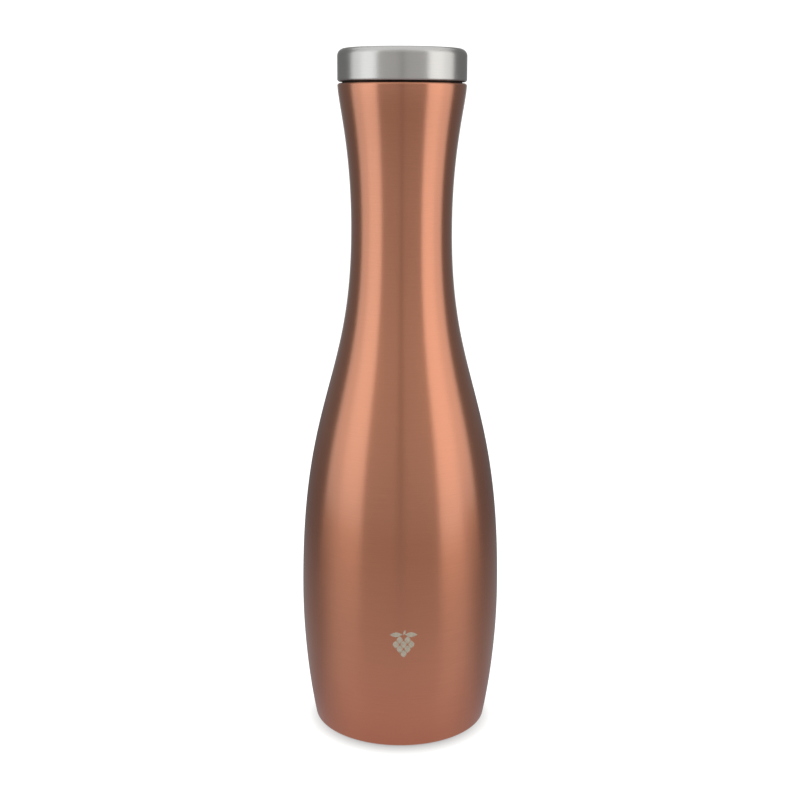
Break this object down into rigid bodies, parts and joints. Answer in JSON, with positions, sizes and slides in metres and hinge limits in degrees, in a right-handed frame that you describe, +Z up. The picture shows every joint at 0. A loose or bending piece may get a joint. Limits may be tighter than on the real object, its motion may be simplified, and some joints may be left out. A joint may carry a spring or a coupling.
{
  "type": "growler",
  "caption": "Slim, tall double-walled metal drink bottle with a narrow waist, flared mouth and low screw-in metal lid.",
  "frame": {"origin": "centre of the foot, on the surface the bottle stands on", "axes": "+Z up along the bottle's axis; -Y is the front, where the small etched mark is"},
  "size_m": [0.11, 0.11, 0.37],
  "materials": {
    "copper_lacquer": "clear copper lacquer over fine brushed steel, satin",
    "brushed_steel": "brushed round its axis, satin",
    "bare_steel": "electropolished, soft shine",
    "bright_foil": "bright rolled foil",
    "dark_silicone": "matte moulded silicone",
    "pale_plastic": "moulded polypropylene, fine satin",
    "foam": "cut closed-cell foam",
    "adhesive_pad": "matte bonding pad",
    "solder_glass": "dark solder glass",
    "getter_alloy": "pressed grey metal powder"
  },
  "bodies": {
    "bottle": {"outer_shell": "copper_lacquer", "outer_neck": "copper_lacquer", "outer_base_cup": "copper_lacquer", "base_cover_plate": "brushed_steel", "base_adhesive_ring": "adhesive_pad", "port_seal_bead": "solder_glass", "getter_pill": "getter_alloy", "getter_strap": "bare_steel", "radiation_foil": "bright_foil", "liner_base_cup": "bare_steel", "liner_body": "bare_steel", "liner_neck": "bare_steel", "mouth_ring": "bare_steel"},
    "lid_seal": {"rim_gasket": "dark_silicone"},
    "lid": {"lid_cap": "brushed_steel", "lid_plug": "pale_plastic", "plug_o_ring": "dark_silicone", "plug_foam": "foam", "lid_inner_plate": "pale_plastic", "cap_foam": "foam"}
  },
  "joints": [
    {"name": "lid_rise", "type": "slide", "parent": "bottle", "child": "lid_seal", "axis": [0, 0, 1], "range_m": [0, 0.04]},
    {"name": "lid_turn", "type": "hinge", "parent": "lid_seal", "child": "lid", "pos_m": [0, 0, 0.352], "axis": [0, 0, 1], "range_deg": [0, 1440]}
  ],
  "couplings": [
    {"joint": "lid_rise", "follows": "lid_turn", "m_per_rad": 0.0015915}
  ]
}
